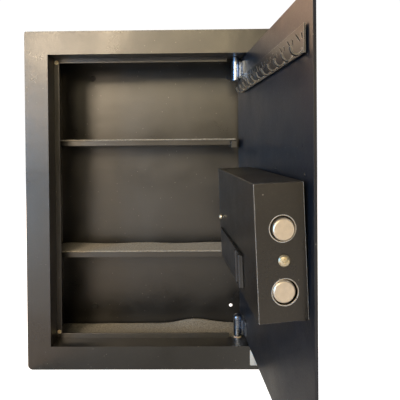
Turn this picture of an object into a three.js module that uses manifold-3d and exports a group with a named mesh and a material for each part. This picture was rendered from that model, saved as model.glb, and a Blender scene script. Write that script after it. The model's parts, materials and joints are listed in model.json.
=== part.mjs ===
// Recessed wall safe: a shallow steel cabinet for a stud bay, with a swinging plate door that
// carries two live bolts, a keypad, an override lock and a key rack.
// Millimetres. +X right, +Y into the wall, +Z up. The origin is the centre of the cabinet's back face.
import * as THREE from 'three';
import { mergeVertices } from 'three/addons/utils/BufferGeometryUtils.js';
import Module from 'manifold-3d';

const wasm = await Module();
wasm.setup();

// ---------------------------------------------------------------- driving dimensions
const GAP = 0.3;                 // clearance between touching pieces
const SHEET = 1.5;               // cabinet sheet steel

const CABINET_DEPTH = 100;       // flange front to back face
const BODY_W = 356;              // box that fits between wall studs
const BODY_H = 470;
const FLANGE_W = 388;
const FLANGE_H = 511;
const FLANGE_FACE = 35;          // visible width of the flange on each side
const TOP_CORNER_R = 3;
const BOTTOM_CORNER_R = 7.5;
const RECESS_DEPTH = 24.6;       // flange front to the stop lip
const LIP_W = 8;
const ANCHOR_X = 120;            // anchor holes in the back wall
const ANCHOR_Z = 201;
const ANCHOR_R = 3;

const SHELF_TOP_Z = 90.5;        // shelves at plus and minus this height
const SHELF_FRONT = 44;          // shelf front behind the flange front
const SHELF_RIGHT_X = 128.5;
const SHELF_LIP = 8;
const SHELF_T = 1.2;
const BRACKET_W = 9.5;
const BRACKET_H = 11;
const MAT_T = 2;
const FLOOR_MAT_T = 4;

const DOOR_W = 314;
const DOOR_H = 437.6;
const DOOR_T = 3;
const PIVOT_X = 126;             // hinge axis
const PIVOT_DEPTH = 33.2;        // hinge axis behind the flange front
const FREE_TO_PIVOT = 283.5;     // door's free edge to the hinge axis
const FACE_TO_PIVOT = 10;        // door's inner face to the hinge axis
const DOOR_OPEN = THREE.MathUtils.degToRad(96.3);

const PIN_R = 4;
const BARREL_R = 6.25;
const BARREL_TOP = [186, 214];          // low and high end of the upper barrel
const BARREL_BOTTOM = [-220, -195];
const BUSH_TOP = { r: 5.1, length: 6.2 };
const BUSH_BOTTOM = { r: 6.4, length: 9.3 };
const LEAF = { length: 24, height: 20, middleZ: 200.5 };
const BRACKET_PLATE_T = 3;

const CASE_U = [11, 213.6];      // lock case, from the free edge
const CASE_Z = [-69.3, 51.8];
const CASE_N = 45;               // depth of the lock case
const CASE_WALL = 1.2;
const CASE_LEAN = THREE.MathUtils.degToRad(2); // it stands a little askew on its lower rim
const HOLE = { r: 11.7, n: 20.7, z: [12, -43] }; // bolt holes, in the case's own axes
const FRONT_SCREW_Z = (HOLE.z[0] + HOLE.z[1]) / 2;
const SIDE_SCREW = { u: 196, z: -11.8 };
const BOLT_R = 10;
const BOLT_L = 45.4;
const BOLT_N = 22.6;             // bolt axes off the door's inner face
const BOLT_Z = [10.6, -42.9];
const BOLT_TIP_U = 9;
const BOLT_TRAVEL = 22;
const KNOB = { u: 84, z: 24 };
const CAM_THROW = BOLT_TRAVEL / Math.SQRT2;
const CAM_PIN_R = 2.5;
const TAIL_N = [13.5, 15.5];     // slotted tail of the bolt bar
const PLUNGER = { u: 90, n: 16.5, r: 3, top: 13.4, travel: 5 };
const KEY_LOCK = { u: 84, z: -36 };
const KEYPAD = { u: 150, z: 0, w: 78, h: 104, depth: 8 };
const BUTTON = { w: 15, h: 11, pitchU: 20, pitchZ: 16, proud: 1.6 };
const COVER_U = [66, 197];       // battery cover
const COVER_Z = [-59, -26];
const COVER_T = 2.5;
const RIB_R = 2.2;               // finger ribs on the cover
const RIB_U = [70.8, 87];
const BATTERY_R = 7.1;
const BATTERY_L = 50;

const RACK_U = [12, 274];        // key rack
const RACK_Z = [163, 188.5];
const RACK_N = [1.7, 3.3];       // it stands off the door on two pads
const HOOK_COUNT = 11;
const HOOK_FIRST_U = 18;
const HOOK_PITCH = 24;
const HOOK_W = 4.5;

const ROUND = 32;                // sides of a large round piece
const SMALL_ROUND = 20;          // sides of a small round piece

// ---------------------------------------------------------------- finishes
const BLACK_POWDER = { color: 0x2b2a2b, roughness: 0.62, metalness: 0.25 };
const GREY_FELT = { color: 0x55534f, roughness: 0.95, metalness: 0 };
const CHROME = { color: 0xc9ccd0, roughness: 0.18, metalness: 1 };
const ZINC = { color: 0xb5aa8e, roughness: 0.35, metalness: 0.9 };
const NYLON = { color: 0xcdbfa4, roughness: 0.55, metalness: 0 };
const BLACK_PLASTIC = { color: 0x1d1e21, roughness: 0.45, metalness: 0 };
const BUTTON_RUBBER = { color: 0x3a3c40, roughness: 0.7, metalness: 0 };
const BOARD_GREEN = { color: 0x1f5a34, roughness: 0.5, metalness: 0 };
const CELL_SLEEVE = { color: 0x31465f, roughness: 0.35, metalness: 0.2 };

// ---------------------------------------------------------------- solid helpers
function toSolid(geometry) {
  const bare = geometry.index ? geometry.toNonIndexed() : geometry.clone();
  bare.deleteAttribute('normal');
  bare.deleteAttribute('uv');
  const merged = mergeVertices(bare, 1e-4);
  const corners = merged.index.array;
  const kept = [];
  for (let i = 0; i < corners.length; i += 3) {
    const [a, b, c] = corners.slice(i, i + 3);
    if (a !== b && b !== c && c !== a) kept.push(a, b, c);
  }
  const vertProperties = new Float32Array(merged.attributes.position.array);
  const triVerts = new Uint32Array(kept);
  return new wasm.Manifold(new wasm.Mesh({ numProp: 3, vertProperties, triVerts }));
}

function toGeometry(solid) {
  const mesh = solid.getMesh();
  const geometry = new THREE.BufferGeometry();
  geometry.setAttribute('position', new THREE.BufferAttribute(mesh.vertProperties, 3));
  geometry.setIndex(new THREE.BufferAttribute(mesh.triVerts, 1));
  geometry.computeVertexNormals();
  return geometry;
}

// A box given by its low and high values on each axis.
function block([x0, x1], [y0, y1], [z0, z1]) {
  const geometry = new THREE.BoxGeometry(x1 - x0, y1 - y0, z1 - z0);
  geometry.translate((x0 + x1) / 2, (y0 + y1) / 2, (z0 + z1) / 2);
  return toSolid(geometry);
}

// A solid of revolution: outline points are [radius, distance along the axis].
function turned(outline, axis, [x, y, z], sides = ROUND) {
  const geometry = new THREE.LatheGeometry(outline.map(([r, s]) => new THREE.Vector2(r, s)), sides);
  if (axis === 'x') geometry.rotateZ(-Math.PI / 2);
  if (axis === 'z') geometry.rotateX(Math.PI / 2);
  geometry.translate(x, y, z);
  return toSolid(geometry);
}

function rod(radius, [from, to], axis, centre, sides = ROUND) {
  return turned([[0, from], [radius, from], [radius, to], [0, to]], axis, centre, sides);
}

// A rod whose two end edges are chamfered.
function chamferedRod(radius, [from, to], chamfer, axis, centre, sides = ROUND) {
  const inner = radius - chamfer;
  const outline = [
    [0, from], [inner, from], [radius, from + chamfer],
    [radius, to - chamfer], [inner, to], [0, to],
  ];
  return turned(outline, axis, centre, sides);
}

// A flat outline in the X-Z plane, thickened from y0 to y1.
function plate(shape, [y0, y1], curveSegments = 5) {
  const options = { depth: y1 - y0, bevelEnabled: false, curveSegments };
  const geometry = new THREE.ExtrudeGeometry(shape, options);
  geometry.rotateX(Math.PI / 2);
  geometry.translate(0, y1, 0);
  return toSolid(geometry);
}

// A rectangle about (x, z) with its own radius at the top and the bottom corners.
function roundedRect(w, h, topR, bottomR = topR, x = 0, z = 0) {
  const [left, right, low, high] = [x - w / 2, x + w / 2, z - h / 2, z + h / 2];
  const shape = new THREE.Shape();
  shape.moveTo(left + bottomR, low);
  shape.lineTo(right - bottomR, low);
  shape.absarc(right - bottomR, low + bottomR, bottomR, -Math.PI / 2, 0);
  shape.lineTo(right, high - topR);
  shape.absarc(right - topR, high - topR, topR, 0, Math.PI / 2);
  shape.lineTo(left + topR, high);
  shape.absarc(left + topR, high - topR, topR, Math.PI / 2, Math.PI);
  shape.lineTo(left, low + bottomR);
  shape.absarc(left + bottomR, low + bottomR, bottomR, Math.PI, 1.5 * Math.PI);
  return shape;
}

function polygon(points) {
  return new THREE.Shape(points.map(([x, y]) => new THREE.Vector2(x, y)));
}

function part(name, solid, finish) {
  const mesh = new THREE.Mesh(toGeometry(solid), new THREE.MeshStandardMaterial(finish));
  mesh.name = name;
  return mesh;
}

// ---------------------------------------------------------------- cabinet
// Cabinet pieces use y = distance behind the flange front.
const OPENING_W = FLANGE_W - 2 * FLANGE_FACE;
const OPENING_H = FLANGE_H - 2 * FLANGE_FACE;
const INNER_X = BODY_W / 2 - SHEET;
const INNER_Z = BODY_H / 2 - SHEET;
const BACK_WALL = CABINET_DEPTH - SHEET;
const HINGE_CUT_X = 112;         // the stop lip ends here on the hinge side

function anchorPlaces() {
  return [[ANCHOR_X, -ANCHOR_Z], [-ANCHOR_X, -ANCHOR_Z], [-ANCHOR_X, ANCHOR_Z], [ANCHOR_X, ANCHOR_Z]];
}

function cabinetBody() {
  const halfW = BODY_W / 2;
  const halfH = BODY_H / 2;
  const outer = block([-halfW, halfW], [SHEET, CABINET_DEPTH], [-halfH, halfH]);
  const hollow = block([-INNER_X, INNER_X], [SHEET - 1, BACK_WALL], [-INNER_Z, INNER_Z]);
  let body = outer.subtract(hollow);
  for (const [x, z] of anchorPlaces()) {
    body = body.subtract(rod(ANCHOR_R, [BACK_WALL - 1, CABINET_DEPTH + 1], 'y', [x, 0, z], SMALL_ROUND));
  }
  return body;
}

// Flange and the recess walls that run back from its opening. The box sits in a shallow rebate
// behind the flange, so that the flange's back is one flat ring round the box.
function frontFrame() {
  const face = roundedRect(FLANGE_W, FLANGE_H, TOP_CORNER_R, BOTTOM_CORNER_R);
  const collar = roundedRect(OPENING_W + 2 * SHEET, OPENING_H + 2 * SHEET, 0.5);
  const hole = roundedRect(OPENING_W, OPENING_H, 0.5);
  const rebate = roundedRect(BODY_W + 2 * GAP, BODY_H + 2 * GAP, GAP);
  return plate(face, [0, SHEET])
    .subtract(plate(rebate, [SHEET - GAP, SHEET + 1]))
    .add(plate(collar, [0.5, RECESS_DEPTH - GAP]))
    .subtract(plate(hole, [-1, RECESS_DEPTH + 1]));
}

// The lip that the door closes against, left open where the hinge side of the door swings in.
function stopFrame() {
  const outerX = OPENING_W / 2 + SHEET;
  const outerZ = OPENING_H / 2 + SHEET;
  const depth = [RECESS_DEPTH, RECESS_DEPTH + SHEET];
  const ring = block([-outerX, HINGE_CUT_X], depth, [-outerZ, outerZ]);
  const innerX = OPENING_W / 2 - LIP_W;
  const innerZ = OPENING_H / 2 - LIP_W;
  return ring.subtract(block([-innerX, outerX], [0, CABINET_DEPTH], [-innerZ, innerZ]));
}

// Channel behind the lip that the bolts lock behind.
function boltKeeper() {
  const from = RECESS_DEPTH + SHEET + GAP;
  const boltFront = PIVOT_DEPTH - FACE_TO_PIVOT + BOLT_N - BOLT_R;
  const x = [-INNER_X + GAP, -(OPENING_W / 2 - LIP_W) - 1];
  const z = [BOLT_Z[1] - 26, BOLT_Z[0] + 26];
  const outer = block(x, [from, boltFront - 0.6], z);
  const inner = block([x[0] + SHEET, x[1] - SHEET], [from - 1, boltFront - 0.6 - SHEET], [z[0] - 1, z[1] + 1]);
  return outer.subtract(inner);
}

// A tray with the open side down, and a plain tongue on the right that rests on the bracket.
function shelf(topZ) {
  const left = -INNER_X + 2;
  const lipEnd = SHELF_RIGHT_X - BRACKET_W - 1.5;
  const back = BACK_WALL - 0.8;
  const lowZ = topZ - SHELF_LIP;
  const top = block([left, SHELF_RIGHT_X], [SHELF_FRONT, back], [topZ - SHELF_T, topZ]);
  const frontLip = block([left, lipEnd], [SHELF_FRONT, SHELF_FRONT + SHELF_T], [lowZ, topZ]);
  const backLip = block([left, lipEnd], [back - SHELF_T, back], [lowZ, topZ]);
  return top.add(frontLip).add(backLip);
}

// Felt laid on a shelf, with its back edge cut in a slow wave.
function shelfMat(topZ) {
  const [x0, x1] = [-INNER_X + 2.5, SHELF_RIGHT_X - 1];
  const front = SHELF_FRONT + 0.3;
  const back = BACK_WALL - 3.5;
  const steps = 24;
  const shape = new THREE.Shape();
  shape.moveTo(x0, front);
  shape.lineTo(x1, front);
  for (let i = 0; i <= steps; i += 1) {
    const t = i / steps;
    shape.lineTo(x1 + (x0 - x1) * t, back - 1.4 + 1.2 * Math.sin(t * 5 * Math.PI));
  }
  const geometry = new THREE.ExtrudeGeometry(shape, { depth: MAT_T, bevelEnabled: false });
  geometry.translate(0, 0, topZ + GAP);
  return toSolid(geometry);
}

function floorMat() {
  const z = -INNER_Z + GAP;
  const [x0, x1] = [-INNER_X + 2, SHELF_RIGHT_X + 1];
  const notchX = PIVOT_X - 21;
  const outline = polygon([
    [x0, 28], [notchX, 28], [notchX, 50], [x1, 50], [x1, BACK_WALL - 1.5], [x0, BACK_WALL - 1.5],
  ]);
  const geometry = new THREE.ExtrudeGeometry(outline, { depth: FLOOR_MAT_T, bevelEnabled: false });
  geometry.translate(0, 0, z);
  return toSolid(geometry);
}

// One upright on the left wall with a ledge for each shelf.
function shelfRail() {
  const x = -INNER_X + GAP;
  const y = [SHELF_FRONT + 4, BACK_WALL - 4];
  const ledges = [SHELF_TOP_Z, -SHELF_TOP_Z].map((top) => top - SHELF_T - GAP);
  let rail = block([x, x + 1.2], [66, 78], [ledges[1] - 14, ledges[0] - 3]);
  for (const z of ledges) {
    rail = rail.add(block([x, x + 7], y, [z - 1.2, z])).add(block([x, x + 1.2], y, [z - 12, z]));
  }
  return rail;
}

// An angle that stands out from the back wall under the right end of a shelf.
function shelfBracket(topZ) {
  const x1 = SHELF_RIGHT_X;
  const x0 = x1 - BRACKET_W;
  const high = topZ - SHELF_T - GAP;
  const y = [SHELF_FRONT, BACK_WALL - GAP];
  const ledge = block([x0, x1], y, [high - 1.5, high]);
  const web = block([x1 - 1.5, x1], y, [high - BRACKET_H, high]);
  const nose = block([x0, x1], [y[0], y[0] + 1.5], [high - BRACKET_H, high]);
  const foot = block([x0, x1], [y[1] - 1.5, y[1]], [high - BRACKET_H, high]);
  return ledge.add(web).add(nose).add(foot);
}

// Plates that hold the hinge pins, one hung from the roof and one on the floor.
function hingeBracket(side) {
  const x = [PIVOT_X - 18, PIVOT_X + 24];
  const y = [PIVOT_DEPTH - 6.8, PIVOT_DEPTH + 13];
  const bore = rod(PIN_R + GAP, [-300, 300], 'z', [PIVOT_X, PIVOT_DEPTH, 0], SMALL_ROUND);
  const wall = INNER_Z - GAP;
  if (side === 'bottom') return block(x, y, [-wall, -wall + BRACKET_PLATE_T]).subtract(bore);
  const low = BARREL_TOP[1] + BUSH_TOP.length + 2 * GAP;
  const shelfPlate = block(x, y, [low, low + BRACKET_PLATE_T]);
  const web = block(x, [y[1] - BRACKET_PLATE_T, y[1]], [low, wall]);
  return shelfPlate.add(web).subtract(bore);
}

function hingePinTop() {
  const headTop = BARREL_TOP[0] - GAP;
  const outline = [
    [0, headTop - 2.4], [6, headTop - 2.4], [6.9, headTop - 1.8], [6.9, headTop],
    [PIN_R, headTop], [PIN_R, INNER_Z - 6], [0, INNER_Z - 6],
  ];
  return turned(outline, 'z', [PIVOT_X, PIVOT_DEPTH, 0], 24);
}

function hingePinBottom() {
  const headLow = BARREL_BOTTOM[1] + GAP;
  const outline = [
    [0, -INNER_Z + 0.8], [PIN_R, -INNER_Z + 0.8], [PIN_R, headLow], [6.6, headLow],
    [6.6, headLow + 3.4], [5.9, headLow + 6], [4.2, headLow + 7.8], [2.2, headLow + 8.8], [0, headLow + 9.1],
  ];
  return turned(outline, 'z', [PIVOT_X, PIVOT_DEPTH, 0], 24);
}

function washer(radius, [low, high]) {
  const centre = [PIVOT_X, PIVOT_DEPTH, 0];
  const bore = rod(PIN_R + GAP, [low - 1, high + 1], 'z', centre, 24);
  return rod(radius, [low, high], 'z', centre, 24).subtract(bore);
}

function bumper(z) {
  const face = RECESS_DEPTH - GAP;
  const outline = [[0, face - 0.9], [2.2, face - 0.9], [3.3, face - 0.3], [3.3, face], [0, face]];
  return turned(outline, 'y', [-(OPENING_W / 2 - LIP_W / 2) - 0.1, 0, z], SMALL_ROUND);
}

function anchorPlug([x, z]) {
  const inside = BACK_WALL - GAP;
  const outline = [
    [0, inside - 1.2], [4.2, inside - 1.2], [5, inside - 0.5], [5, inside],
    [ANCHOR_R - GAP, inside], [ANCHOR_R - GAP, CABINET_DEPTH - GAP], [0, CABINET_DEPTH - GAP],
  ];
  return turned(outline, 'y', [x, 0, z], SMALL_ROUND);
}

function buildCabinet() {
  const bushTop = BARREL_TOP[1] + GAP;
  const bushBottom = BARREL_BOTTOM[0] - GAP;
  const group = new THREE.Group();
  group.position.y = -CABINET_DEPTH;
  group.add(
    part('cabinet_body', cabinetBody(), BLACK_POWDER),
    part('front_frame', frontFrame(), BLACK_POWDER),
    part('stop_frame', stopFrame(), BLACK_POWDER),
    part('bolt_keeper', boltKeeper(), BLACK_POWDER),
    part('upper_shelf', shelf(SHELF_TOP_Z), BLACK_POWDER),
    part('lower_shelf', shelf(-SHELF_TOP_Z), BLACK_POWDER),
    part('upper_shelf_mat', shelfMat(SHELF_TOP_Z), GREY_FELT),
    part('lower_shelf_mat', shelfMat(-SHELF_TOP_Z), GREY_FELT),
    part('floor_mat', floorMat(), GREY_FELT),
    part('shelf_rail_left', shelfRail(), BLACK_POWDER),
    part('upper_shelf_bracket', shelfBracket(SHELF_TOP_Z), BLACK_POWDER),
    part('lower_shelf_bracket', shelfBracket(-SHELF_TOP_Z), BLACK_POWDER),
    part('hinge_bracket_top', hingeBracket('top'), BLACK_POWDER),
    part('hinge_bracket_bottom', hingeBracket('bottom'), BLACK_POWDER),
    part('hinge_pin_top', hingePinTop(), CHROME),
    part('hinge_pin_bottom', hingePinBottom(), CHROME),
    part('hinge_bush_top', washer(BUSH_TOP.r, [bushTop, bushTop + BUSH_TOP.length]), CHROME),
    part('hinge_bush_bottom', washer(BUSH_BOTTOM.r, [bushBottom - BUSH_BOTTOM.length, bushBottom]), NYLON),
    part('door_bumper_upper', bumper(213.6), NYLON),
    part('door_bumper_lower', bumper(-209.8), NYLON),
  );
  anchorPlaces().slice(1).forEach((place, i) => {
    group.add(part(`anchor_plug_${i + 1}`, anchorPlug(place), BLACK_PLASTIC));
  });
  return group;
}

// ---------------------------------------------------------------- door
// Door pieces use x = distance u from the free edge, y = distance n from the inner face into the
// cabinet (negative outside), and z = height.
// The leaf sits at the same height above and below the middle, clear of the stop lip.
function hingeBarrel([low, high]) {
  const centre = [FREE_TO_PIVOT, FACE_TO_PIVOT, 0];
  const tube = rod(BARREL_R, [low, high], 'z', centre, 24);
  const leafZ = Math.sign(low) * LEAF.middleZ;
  const leaf = block(
    [FREE_TO_PIVOT - LEAF.length, FREE_TO_PIVOT + 3],
    [GAP, 3.1],
    [leafZ - LEAF.height / 2, leafZ + LEAF.height / 2],
  );
  const webZ = [Math.max(low, -OPENING_H / 2) + 1, high - 1];
  const web = block([FREE_TO_PIVOT - 4, FREE_TO_PIVOT + 3], [GAP, 4.6], webZ);
  const bore = rod(PIN_R + GAP, [low - 1, high + 1], 'z', centre, 24);
  return tube.add(leaf).add(web).subtract(bore);
}

function doorPlate() {
  const outline = roundedRect(DOOR_W, DOOR_H, 2, 2, DOOR_W / 2, 0);
  const holes = [[KNOB, 6.3], [KEY_LOCK, 8.4], [{ u: KEYPAD.u, z: -30 }, 6]];
  let door = plate(outline, [-DOOR_T, 0]);
  for (const [{ u, z }, radius] of holes) {
    door = door.subtract(rod(radius, [-DOOR_T - 1, 1], 'y', [u, 0, z], SMALL_ROUND));
  }
  return door;
}

// A hook seen from its side: a tongue that leaves the rack, turns under and rises to its tip.
function hookProfile() {
  const bendR = 5.8;
  const thick = 1.3;
  const [cy, cz] = [RACK_N[1] + bendR - 1, RACK_Z[0] + bendR - 1.4];
  const shape = new THREE.Shape();
  shape.moveTo(cy - bendR, cz);
  shape.absarc(cy, cz, bendR, Math.PI, 2 * Math.PI);
  shape.lineTo(cy + bendR + 0.6, cz + 1.6);
  shape.lineTo(cy + bendR + 0.6 - thick, cz + 1.9);
  shape.lineTo(cy + bendR - thick, cz);
  shape.absarc(cy, cz, bendR - thick, 0, Math.PI, true);
  shape.lineTo(cy - bendR + thick, cz + 1);
  shape.lineTo(cy - bendR, cz + 1);
  return shape;
}

function keyRack() {
  let rack = block(RACK_U, RACK_N, RACK_Z);
  for (let i = 0; i < HOOK_COUNT; i += 1) {
    const u = HOOK_FIRST_U + i * HOOK_PITCH;
    rack = rack.add(placedHook(u)).subtract(longSlot(u)).subtract(shortSlot(u));
  }
  for (const hook of [2, 8]) {
    const u = HOOK_FIRST_U + hook * HOOK_PITCH + 18;
    rack = rack.add(block([u - 1.6, u + 1.6], [GAP, RACK_N[1]], [RACK_Z[0] + 3, RACK_Z[1] - 3]));
  }
  return rack;
}

// The hook profile is drawn in the n-z plane and thickened along u.
function placedHook(u) {
  const options = { depth: HOOK_W, bevelEnabled: false, curveSegments: 6 };
  const geometry = new THREE.ExtrudeGeometry(hookProfile(), options);
  const turn = new THREE.Matrix4().set(
    0, 0, 1, 0,
    1, 0, 0, 0,
    0, 1, 0, 0,
    0, 0, 0, 1,
  );
  geometry.applyMatrix4(turn);
  geometry.translate(u - HOOK_W / 2, 0, 0);
  return toSolid(geometry);
}

// A slanted slot through the rack, from (lowU, lowZ) to (highU, highZ).
function slantedSlot(lowU, lowZ, highU, highZ) {
  const width = 2.5;
  return plate(polygon([[lowU, lowZ], [lowU + width, lowZ], [highU + width, highZ], [highU, highZ]]), [-1, 9]);
}

// The two slots that free a hook's tongue: a long one on the hinge side, a short one on the other.
function longSlot(u) {
  return slantedSlot(u + 2, RACK_Z[1] - 13.5, u + 13, RACK_Z[1] - 4);
}

function shortSlot(u) {
  return slantedSlot(u - 3.6, RACK_Z[1] - 12.2, u - 1.2, RACK_Z[1] - 6.2);
}

function lockCase() {
  const outer = block(CASE_U, [GAP, CASE_N], CASE_Z);
  const inner = block(
    [CASE_U[0] + CASE_WALL, CASE_U[1] - CASE_WALL],
    [-1, CASE_N - CASE_WALL],
    [CASE_Z[0] + CASE_WALL, CASE_Z[1] - CASE_WALL],
  );
  let shell = outer.subtract(inner);
  const u = [CASE_U[0] - 1, CASE_U[0] + 3];
  for (const z of HOLE.z) {
    shell = shell.subtract(rod(HOLE.r, u, 'x', [0, HOLE.n, z]));
  }
  const batteryMouth = block(
    [COVER_U[0] + 6, COVER_U[1] - 4],
    [CASE_N - 3, CASE_N + 1],
    [COVER_Z[0] + 2.5, COVER_Z[1] - 2.5],
  );
  return shell
    .subtract(batteryMouth)
    .subtract(rod(2.8, u, 'x', [0, HOLE.n, FRONT_SCREW_Z], SMALL_ROUND))
    .subtract(rod(2.3, [CASE_N - 3, CASE_N + 1], 'y', [SIDE_SCREW.u, 0, SIDE_SCREW.z], SMALL_ROUND));
}

// Domed pan-head screw through the case face between the bolts.
function frontScrew() {
  const face = CASE_U[0] - GAP;
  const outline = [
    [0, face - 3.2], [2.4, face - 3], [4.2, face - 2.3], [5.3, face - 1], [5.3, face],
    [2.4, face], [2.4, face + 12], [0, face + 12],
  ];
  const screw = turned(outline, 'x', [0, HOLE.n, FRONT_SCREW_Z], 24);
  const slot = (n, z) => block([face - 4, face - 1.9], n, z);
  const [n, z] = [HOLE.n, FRONT_SCREW_Z];
  return screw
    .subtract(slot([n - 0.6, n + 0.6], [z - 2.6, z + 2.6]))
    .subtract(slot([n - 2.6, n + 2.6], [z - 0.6, z + 0.6]));
}

function sideScrew() {
  const face = CASE_N + GAP;
  const outline = [
    [0, face - 8], [1.9, face - 8], [1.9, face], [3.6, face], [3.5, face + 0.9], [2.6, face + 1.9],
    [1.3, face + 2.3], [0, face + 2.4],
  ];
  return turned(outline, 'y', [SIDE_SCREW.u, 0, SIDE_SCREW.z], SMALL_ROUND);
}

// Battery cover with two rounded finger ribs at the end nearest the bolts.
function batteryCover() {
  const n = CASE_N + GAP;
  const top = n + COVER_T;
  const [u0, u1] = COVER_U;
  const shape = new THREE.Shape();
  shape.moveTo(u0, n);
  shape.lineTo(u1, n);
  shape.lineTo(u1 - 3, top);
  for (const u of [RIB_U[1], RIB_U[0]]) {
    shape.lineTo(u + RIB_R, top);
    shape.absarc(u, top, RIB_R, 0, Math.PI, false);
  }
  shape.lineTo(u0 + 0.8, top);
  const geometry = new THREE.ExtrudeGeometry(shape, {
    depth: COVER_Z[1] - COVER_Z[0],
    bevelEnabled: false,
    curveSegments: 6,
  });
  geometry.translate(0, 0, COVER_Z[0]);
  return toSolid(geometry);
}

// Battery cradle, open towards its cover.
const TRAY_U = [COVER_U[0] + 8, COVER_U[1] - 6.5];
const TRAY_N = [27.6, CASE_N - CASE_WALL - GAP];

function batteryTray() {
  const z = [COVER_Z[0] + 0.5, COVER_Z[1] - 0.5];
  const outer = block(TRAY_U, TRAY_N, z);
  const inner = block([TRAY_U[0] + 1.2, TRAY_U[1] - 1.2], [TRAY_N[0] + 1, 60], [z[0] + 1, z[1] - 1]);
  return outer.subtract(inner);
}

function battery(column, row) {
  const u = TRAY_U[0] + 3 + column * (BATTERY_L + 3.5);
  const z = (COVER_Z[0] + COVER_Z[1]) / 2 + (row ? 7.6 : -7.6);
  const outline = [
    [0, u], [BATTERY_R, u], [BATTERY_R, u + BATTERY_L - 1], [2.7, u + BATTERY_L - 1],
    [2.7, u + BATTERY_L + 0.6], [0, u + BATTERY_L + 0.6],
  ];
  return turned(outline, 'x', [0, TRAY_N[0] + 1.3 + BATTERY_R, z], SMALL_ROUND);
}

function circuitBoard() {
  const board = block([112, 188], [6, 7.6], [-58, 22]);
  const connector = block([120, 140], [7, 11], [-54, -46]);
  const chip = block([142, 158], [7, 9.4], [-22, -10]);
  return board.add(connector).add(chip);
}

function solenoidBody() {
  const [u, n] = [PLUNGER.u, PLUNGER.n];
  const can = block([u - 11, u + 11], [n - 9, n + 9], [-23, 3]);
  const bore = rod(PLUNGER.r + GAP, [-16, 4], 'z', [u, n, 0], SMALL_ROUND);
  return can.subtract(bore);
}

function plunger() {
  return chamferedRod(PLUNGER.r, [-14, PLUNGER.top], 0.5, 'z', [PLUNGER.u, PLUNGER.n, 0], SMALL_ROUND);
}

function bolt(z) {
  return chamferedRod(BOLT_R, [BOLT_TIP_U, BOLT_TIP_U + BOLT_L], 1.2, 'x', [0, BOLT_N, z]);
}

// Upright bar behind the bolts, with a tail that the knob's cam pin drives through a slot.
// The tail's lower edge rises so that the plunger can follow it out of its way.
function boltBar() {
  const u0 = BOLT_TIP_U + BOLT_L + GAP;
  const bar = block([u0, u0 + 4], [TAIL_N[0], 28], [BOLT_Z[1] - 12, BOLT_Z[0] + 12]);
  const low = PLUNGER.top + GAP + 0.3;
  const high = 47;
  const rampFrom = PLUNGER.u - PLUNGER.r;
  const tailEnd = KNOB.u + 22;
  const rise = (PLUNGER.travel * (tailEnd - rampFrom)) / BOLT_TRAVEL;
  const tail = plate(polygon([
    [u0, low], [rampFrom, low], [tailEnd, low + rise], [tailEnd, high], [u0, high],
  ]), TAIL_N);
  const pinU = KNOB.u + BOLT_TRAVEL / 2;
  const pinLow = KNOB.z + BOLT_TRAVEL / 2 - CAM_PIN_R - 0.6;
  const pinHigh = KNOB.z + CAM_THROW + CAM_PIN_R + 0.6;
  const halfSlot = CAM_PIN_R + 0.9;
  const slot = block([pinU - halfSlot, pinU + halfSlot], [TAIL_N[0] - 1, TAIL_N[1] + 1], [pinLow, pinHigh]);
  return bar.add(tail).subtract(slot);
}

// Square-ended spindle with a cam arm and its drive pin.
function knobSpindle() {
  const { u, z } = KNOB;
  const half = BOLT_TRAVEL / 2;
  const camN = [9, 12];
  const arm = plate(polygon([
    [u + 5.5, z - 5.5], [u + half + 4, z + half - 1], [u + half + 1, z + half + 4], [u - 5.5, z + 5.5],
  ]), camN);
  return rod(4, [-14, camN[1]], 'y', [u, 0, z], 24)
    .add(rod(7.8, camN, 'y', [u, 0, z], 24))
    .add(arm)
    .add(rod(4.3, camN, 'y', [u + half, 0, z + half], SMALL_ROUND))
    .add(rod(CAM_PIN_R, [camN[0] + 1, TAIL_N[1] + 1.5], 'y', [u + half, 0, z + half], SMALL_ROUND));
}

function knob() {
  const { u, z } = KNOB;
  const back = -DOOR_T - 0.5;
  const outline = [
    [0, back - 6.5], [15.5, back - 6.5], [18.4, back - 5], [19, back - 3.2], [19, back - 0.6], [18.2, back], [0, back],
  ];
  const grip = plate(roundedRect(9, 34, 4, 4, u, z), [back - 16, back - 6]);
  const bore = rod(4 + GAP, [-14 - GAP, 0], 'y', [u, 0, z], 24);
  return turned(outline, 'y', [u, 0, z], 40).add(grip).subtract(bore);
}

// Override lock: an escutcheon on the door with a barrel through it.
const KEY_BARREL_R = 8;
const KEY_PLUG_R = 5;
const COVER_RIVET_Z = KEY_LOCK.z + 12.5;
const ESCUTCHEON_N = [-DOOR_T - GAP - 2.8, -DOOR_T - GAP];

function keyCylinder() {
  const { u, z } = KEY_LOCK;
  const escutcheon = plate(roundedRect(24, 34, 10, 10, u, z + 3), ESCUTCHEON_N);
  return escutcheon
    .add(rod(KEY_BARREL_R, [ESCUTCHEON_N[0] + 1, 18], 'y', [u, 0, z], 24))
    .subtract(rod(KEY_PLUG_R + GAP, [-20, 30], 'y', [u, 0, z], 24))
    .subtract(rod(1.8, [-20, 0], 'y', [u, 0, COVER_RIVET_Z], SMALL_ROUND));
}

function keyPlug() {
  const { u, z } = KEY_LOCK;
  const front = ESCUTCHEON_N[0];
  const keyway = block([u - 0.8, u + 0.8], [front - 1, front + 12], [z - 3.6, z + 3.6]);
  const lever = plate(roundedRect(7, 18, 3, 3, u, z - 6), [18.3, 20.3]);
  return rod(KEY_PLUG_R, [front, 19], 'y', [u, 0, z], 24).add(lever).subtract(keyway);
}

function keyCover() {
  const { u, z } = KEY_LOCK;
  const back = ESCUTCHEON_N[0] - GAP;
  return plate(roundedRect(16, 26, 7, 8, u, z + 5), [back - 1.6, back])
    .add(rod(1.5, [back - 1, -DOOR_T - GAP], 'y', [u, 0, COVER_RIVET_Z], SMALL_ROUND));
}

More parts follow.
